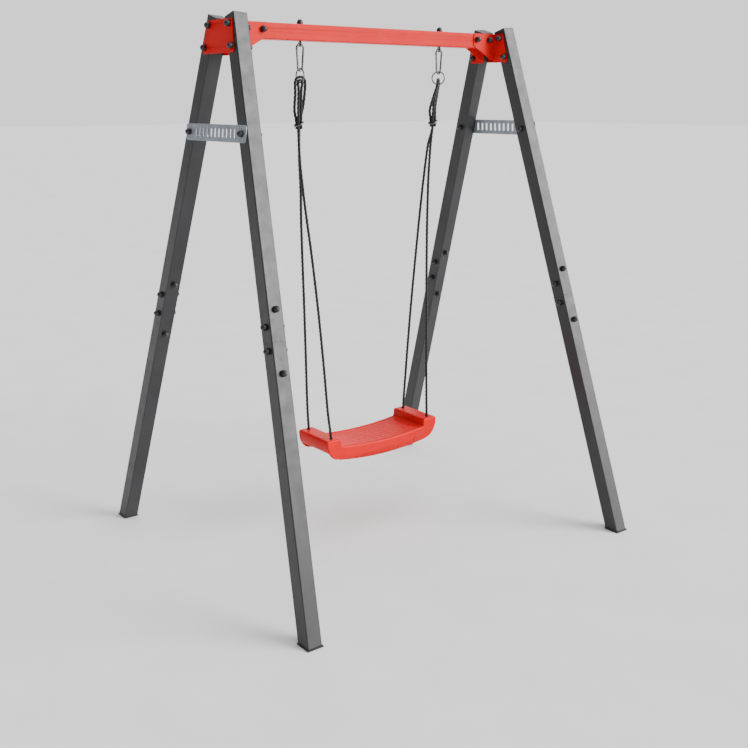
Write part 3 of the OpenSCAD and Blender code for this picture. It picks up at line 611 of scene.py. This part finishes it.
def pan_relief(x, y, half_x, half_y):
    """How far the pan lies below its rim, with its lengthwise grooves."""
    corner = PAN_CORNER
    qx, qy = np.abs(x) - half_x + corner, np.abs(y) - half_y + corner
    outside = np.hypot(np.maximum(qx, 0), np.maximum(qy, 0)) + np.minimum(np.maximum(qx, qy), 0) - corner
    step = RIM_STEP * smoothstep(-outside / RIM_FADE)
    pitch = 2 * (half_y - GROOVE_MARGIN) / (GROOVES - 1)
    nearest = np.abs(y - pitch * np.clip(np.round(y / pitch), -(GROOVES // 2), GROOVES // 2))
    fade = smoothstep((-outside - GROOVE_START) / GROOVE_FADE)
    groove = GROOVE_DEPTH * np.exp(-((nearest / GROOVE_HALF) ** 2)) * fade
    return step + groove - RIM_BEAD * np.exp(-((outside / BEAD_HALF) ** 2))


def top_relief(profile, normal, y, pan_half, half_d):
    across = np.full(len(profile), y)
    relief = pan_relief(profile[:, 0], across, pan_half - RIM_W, half_d - RIM_W)
    return profile - relief[:, None] * normal


def make_seat(material):
    low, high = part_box("seat")
    half_l, half_d = (high.x - low.x) / 2, (high.y - low.y) / 2
    middle = np.array(((high.x + low.x) / 2, (high.y + low.y) / 2, high.z))
    pan_half = half_l - SHOULDER_L
    half = seat_profile(half_l, pan_half)
    profile = np.concatenate([(half * (-1, 1))[:0:-1], half])
    normal = outline_normals(profile)
    skirt_mid = low.z - high.z
    end_x = half_l - END_R + SKIRT_OVER
    bottom_x = np.linspace(-end_x, end_x, SKIRT_POINTS)
    bottom = np.stack([bottom_x, skirt_mid + SKIRT_RISE * (bottom_x / end_x) ** 2], 1)

    inner = half_d - EDGE_R
    angles = np.linspace(0, math.pi / 2, EDGE_STEPS, endpoint=False)
    edge = [(profile - (EDGE_R + SEAM) * normal, half_d)]
    edge += [(profile - EDGE_R * (1 - math.sin(a)) * normal, inner + EDGE_R * math.cos(a))
             for a in angles]
    rows = [(outline, -y) for outline, y in edge]
    rows += [(top_relief(profile, normal, y, pan_half, half_d), y)
             for y in np.linspace(-inner, inner, TOP_STEPS)]
    rows += edge[::-1]

    wide = len(profile)
    flat = [(outline, y) for outline, y in rows] + [(bottom, -half_d), (bottom, half_d)]
    points = np.concatenate([np.stack([o[:, 0], np.full(len(o), y), o[:, 1]], 1) for o, y in flat])
    points = points + middle
    covered = np.flatnonzero(profile[:, 1] > -END_WALL)
    faces = []
    for r in range(len(rows) - 1):
        on_edge = min(r, len(rows) - 2 - r) < len(edge) - 1
        span = range(wide - 1) if on_edge else range(covered[0], covered[-1])
        here, above = r * wide, (r + 1) * wide
        faces += [(here + i, here + i + 1, above + i + 1, above + i) for i in span]
    last, low_at = (len(rows) - 1) * wide, len(rows) * wide
    faces.append((*range(wide - 1, -1, -1), *range(low_at, low_at + SKIRT_POINTS)))
    far_at = low_at + SKIRT_POINTS
    faces.append((*range(last, last + wide), *range(far_at + SKIRT_POINTS - 1, far_at - 1, -1)))
    uvs = [(0.0, 0.0)] * sum(len(face) for face in faces)
    seat = object_from("seat_shell", [(points, faces, uvs)], material)
    wall = seat.modifiers.new("wall", "SOLIDIFY")
    wall.thickness = SEAT_WALL
    wall.offset = -1
    cut_rope_holes(seat, middle)
    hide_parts("seat")
    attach(seat, "swing")


def cut_rope_holes(seat, middle):
    """Bores the four rope holes through the shoulders."""
    mesh = bmesh.new()
    for sx in (-1, 1):
        for sy in (-1, 1):
            x, y = middle[0] + sx * HOLE_AT[0], middle[1] + sy * HOLE_AT[1]
            at = Matrix.Translation((x, y, middle[2]))
            bmesh.ops.create_cone(mesh, cap_ends=True, segments=32, radius1=HOLE_R, radius2=HOLE_R,
                                  depth=20 * MM, matrix=at)
    data = bpy.data.meshes.new("hole_cutter")
    mesh.to_mesh(data)
    mesh.free()
    cutter = bpy.data.objects.new("hole_cutter", data)
    SCENE.collection.objects.link(cutter)
    cut = seat.modifiers.new("holes", "BOOLEAN")
    cut.object = cutter
    cut.operation = "DIFFERENCE"
    cut.solver = "EXACT"
    apply_modifiers(seat)
    bpy.data.objects.remove(cutter)


def apply_modifiers(piece):
    bpy.context.view_layer.update()
    seen = piece.evaluated_get(bpy.context.evaluated_depsgraph_get())
    mesh = bpy.data.meshes.new_from_object(seen)
    piece.modifiers.clear()
    piece.data = mesh


# ---------------------------------------------------------------- snap hooks

HOOK_WIRE_R = 3.5 * MM
HOOK_WIDE = 33 * MM
HOOK_NARROW = 24 * MM
HOOK_LENGTH = 88 * MM
GATE_FROM = 8 * MM
GATE_END = 5 * MM
LUG_H = 6 * MM
LUG_T = 2.4 * MM
LUG_ROUND = 0.5 * MM
HOOK_SIDES = 20


def hook_shape():
    """Centre line of a snap hook in its own XZ plane, from the nose to the gate's hinge."""
    wide, narrow = HOOK_WIDE / 2 - HOOK_WIRE_R, HOOK_NARROW / 2 - HOOK_WIRE_R
    between = HOOK_LENGTH - 2 * HOOK_WIRE_R - wide - narrow
    tilt = math.asin((wide - narrow) / between)
    side = math.sqrt(between ** 2 - (wide - narrow) ** 2)
    degrees = math.degrees(tilt)
    top = arc_points((0, -wide), wide, 180 + degrees, -degrees, 28)
    low = arc_points((0, -wide - between), narrow, -degrees, degrees - 180, 20)
    down = np.array((math.sin(tilt), -math.cos(tilt)))
    gate_to = side - GATE_END
    nose = [top[0] + down * d for d in np.linspace(GATE_FROM, 0.5 * MM, 5)]
    right = [top[-1] + (low[0] - top[-1]) * s for s in np.linspace(0, 1, 12)[1:-1]]
    left = [low[-1] + (top[0] + down * gate_to - low[-1]) * s for s in (0.5, 1.0)]
    line = np.concatenate([nose, top, right, low, left])
    hinge = top[0] + down * (gate_to - LUG_H / 2)
    return np.stack([line[:, 0], np.zeros(len(line)), line[:, 1]], 1), hinge, down


def make_hooks(material):
    line, hinge, down = hook_shape()
    for side in ("left", "right"):
        low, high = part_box("snap_hook_" + side)
        at = np.array(((low.x + high.x) / 2, 0, high.z - HOOK_WIRE_R))
        radius = np.full(len(line), HOOK_WIRE_R)
        radius[0] *= 0.72
        radius[1] *= 0.93
        parts = [tube_mesh(line + at, radius, HOOK_SIDES)]
        hook = object_from("snap_hook_wire_" + side, parts, material)
        lug_size = (2 * HOOK_WIRE_R, LUG_T, LUG_H + 2 * MM)
        lug = box_piece((at[0] + hinge[0], 0, at[2] + hinge[1]), lug_size, down)
        join_box(hook, lug)
        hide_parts("snap_hook_" + side)
        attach(hook, "swing")


def box_piece(at, size, down):
    mesh = bmesh.new()
    turn = Matrix.Rotation(math.atan2(down[0], -down[1]), 4, "Y").inverted()
    place = Matrix.Translation(at) @ turn @ Matrix.Diagonal((*size, 1))
    bmesh.ops.create_cube(mesh, size=1, matrix=place)
    edges = list(mesh.edges)
    bmesh.ops.bevel(mesh, geom=edges, offset=LUG_ROUND, segments=2, affect="EDGES", profile=0.5)
    return mesh


def join_box(piece, mesh):
    whole = bmesh.new()
    whole.from_mesh(piece.data)
    data = bpy.data.meshes.new("lug")
    mesh.to_mesh(data)
    mesh.free()
    whole.from_mesh(data)
    whole.to_mesh(piece.data)
    whole.free()
    bpy.data.meshes.remove(data)


make_camera()
materials = make_materials()
make_floor()
make_lights()
dress_cad(materials)
make_ropes(materials["black_rope"])
make_knots(materials["black_rope"])
make_seat(materials["red_plastic"])
make_hooks(materials["bright_steel"])
